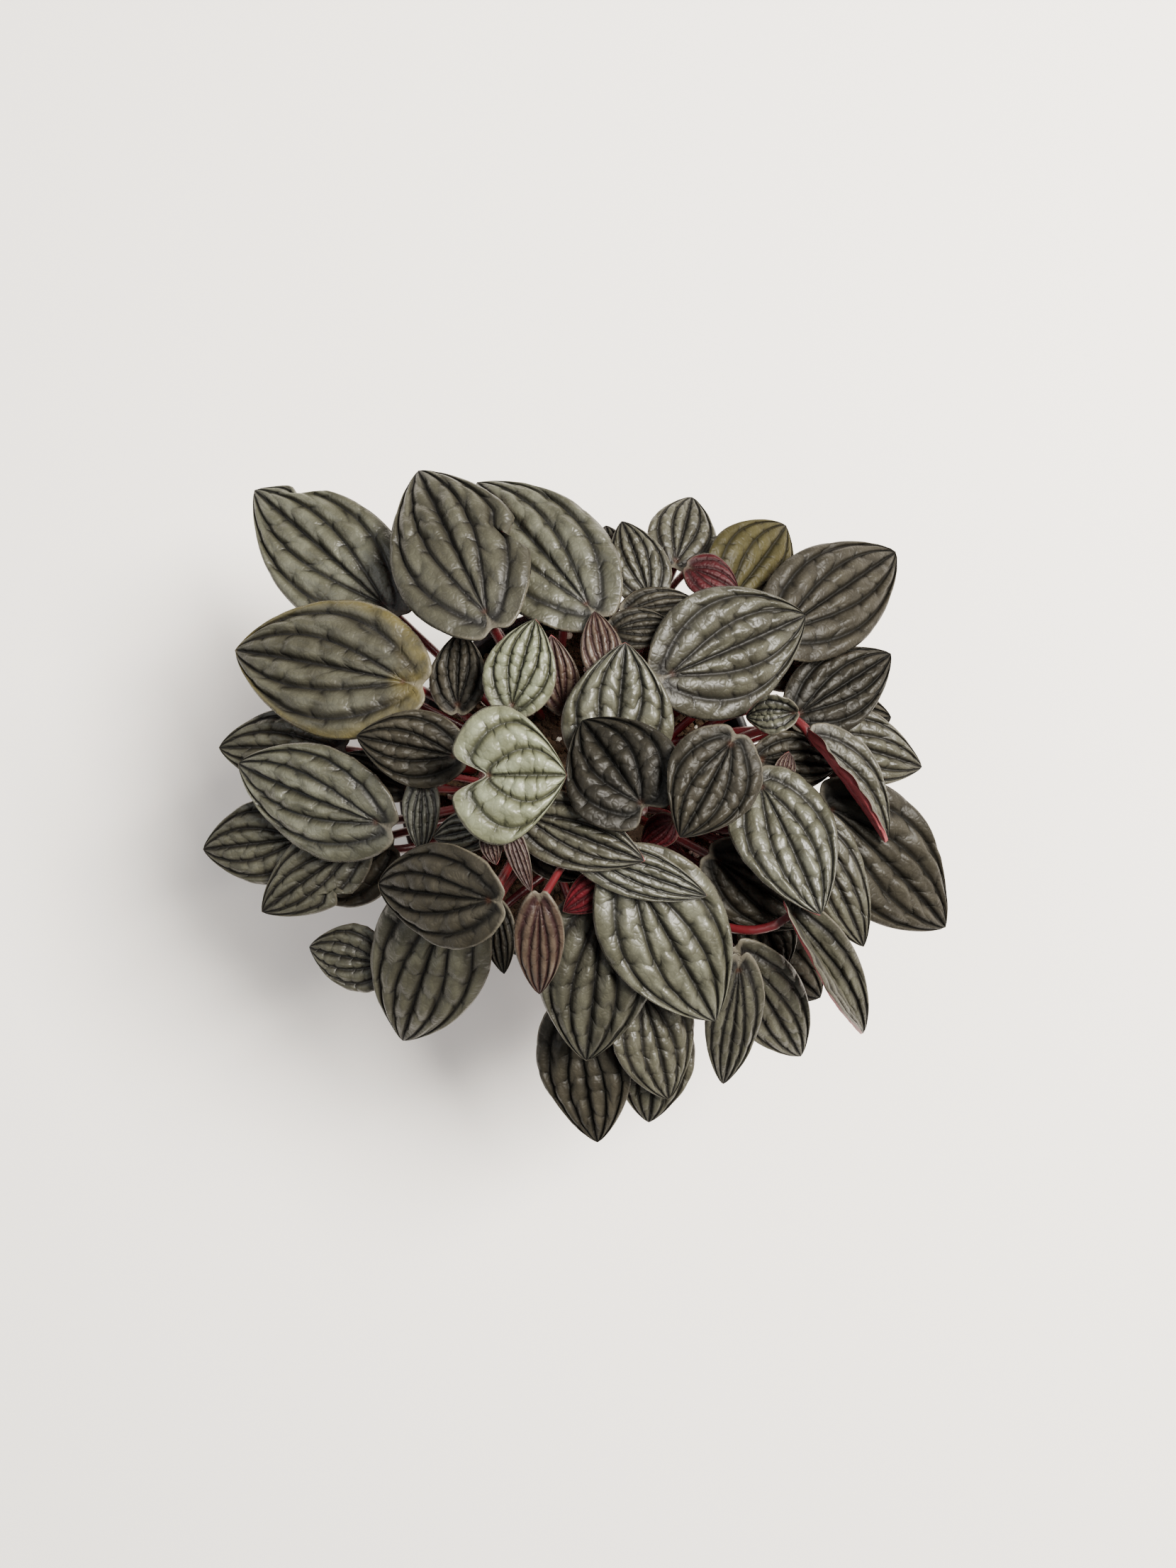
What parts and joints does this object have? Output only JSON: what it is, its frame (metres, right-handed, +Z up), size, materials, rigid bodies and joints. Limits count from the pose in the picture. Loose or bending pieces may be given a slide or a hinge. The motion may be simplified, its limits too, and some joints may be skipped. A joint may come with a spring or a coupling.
{
  "type": "potted peperomia plant",
  "caption": "Potted peperomia: a dense round mound of quilted, silver-green heart-shaped leaves on red stalks, standing in soil in a plain round nursery pot with a flat base.",
  "frame": {"origin": "middle of the pot's flat base, on the surface it stands on", "axes": "+Z up; seen from straight above, +X is to the right of the picture and +Y to its top"},
  "size_m": [0.214, 0.1899, 0.1577],
  "materials": {
    "leaf": "silver grey-green leaf with dark sunken veins, a satin gloss and crimson undersides",
    "soil": "dark damp peat mix",
    "pot": "dark moulded plastic, satin"
  },
  "bodies": {
    "root": {"leaf_01": "leaf", "leaf_02": "leaf", "leaf_03": "leaf", "leaf_04": "leaf", "leaf_05": "leaf", "leaf_06": "leaf", "leaf_07": "leaf", "leaf_08": "leaf", "leaf_09": "leaf", "leaf_10": "leaf", "leaf_11": "leaf", "leaf_12": "leaf", "leaf_13": "leaf", "leaf_14": "leaf", "leaf_15": "leaf", "leaf_16": "leaf", "leaf_17": "leaf", "leaf_18": "leaf", "leaf_19": "leaf", "leaf_20": "leaf", "leaf_21": "leaf", "leaf_22": "leaf", "leaf_23": "leaf", "leaf_24": "leaf", "leaf_25": "leaf", "leaf_26": "leaf", "leaf_27": "leaf", "leaf_28": "leaf", "leaf_29": "leaf", "leaf_30": "leaf", "leaf_31": "leaf", "leaf_32": "leaf", "leaf_33": "leaf", "leaf_34": "leaf", "leaf_35": "leaf", "leaf_36": "leaf", "leaf_37": "leaf", "leaf_38": "leaf", "leaf_39": "leaf", "leaf_40": "leaf", "leaf_41": "leaf", "leaf_42": "leaf", "leaf_43": "leaf", "leaf_44": "leaf", "leaf_45": "leaf", "leaf_46": "leaf", "pot": "pot", "shoot_back": "leaf", "shoot_curled": "leaf", "shoot_dark": "leaf", "shoot_heart": "leaf", "shoot_left": "leaf", "shoot_skirt_1": "leaf", "shoot_skirt_2": "leaf", "shoot_skirt_3": "leaf", "shoot_skirt_4": "leaf", "shoot_young": "leaf", "soil": "soil"}
  },
  "joints": []
}
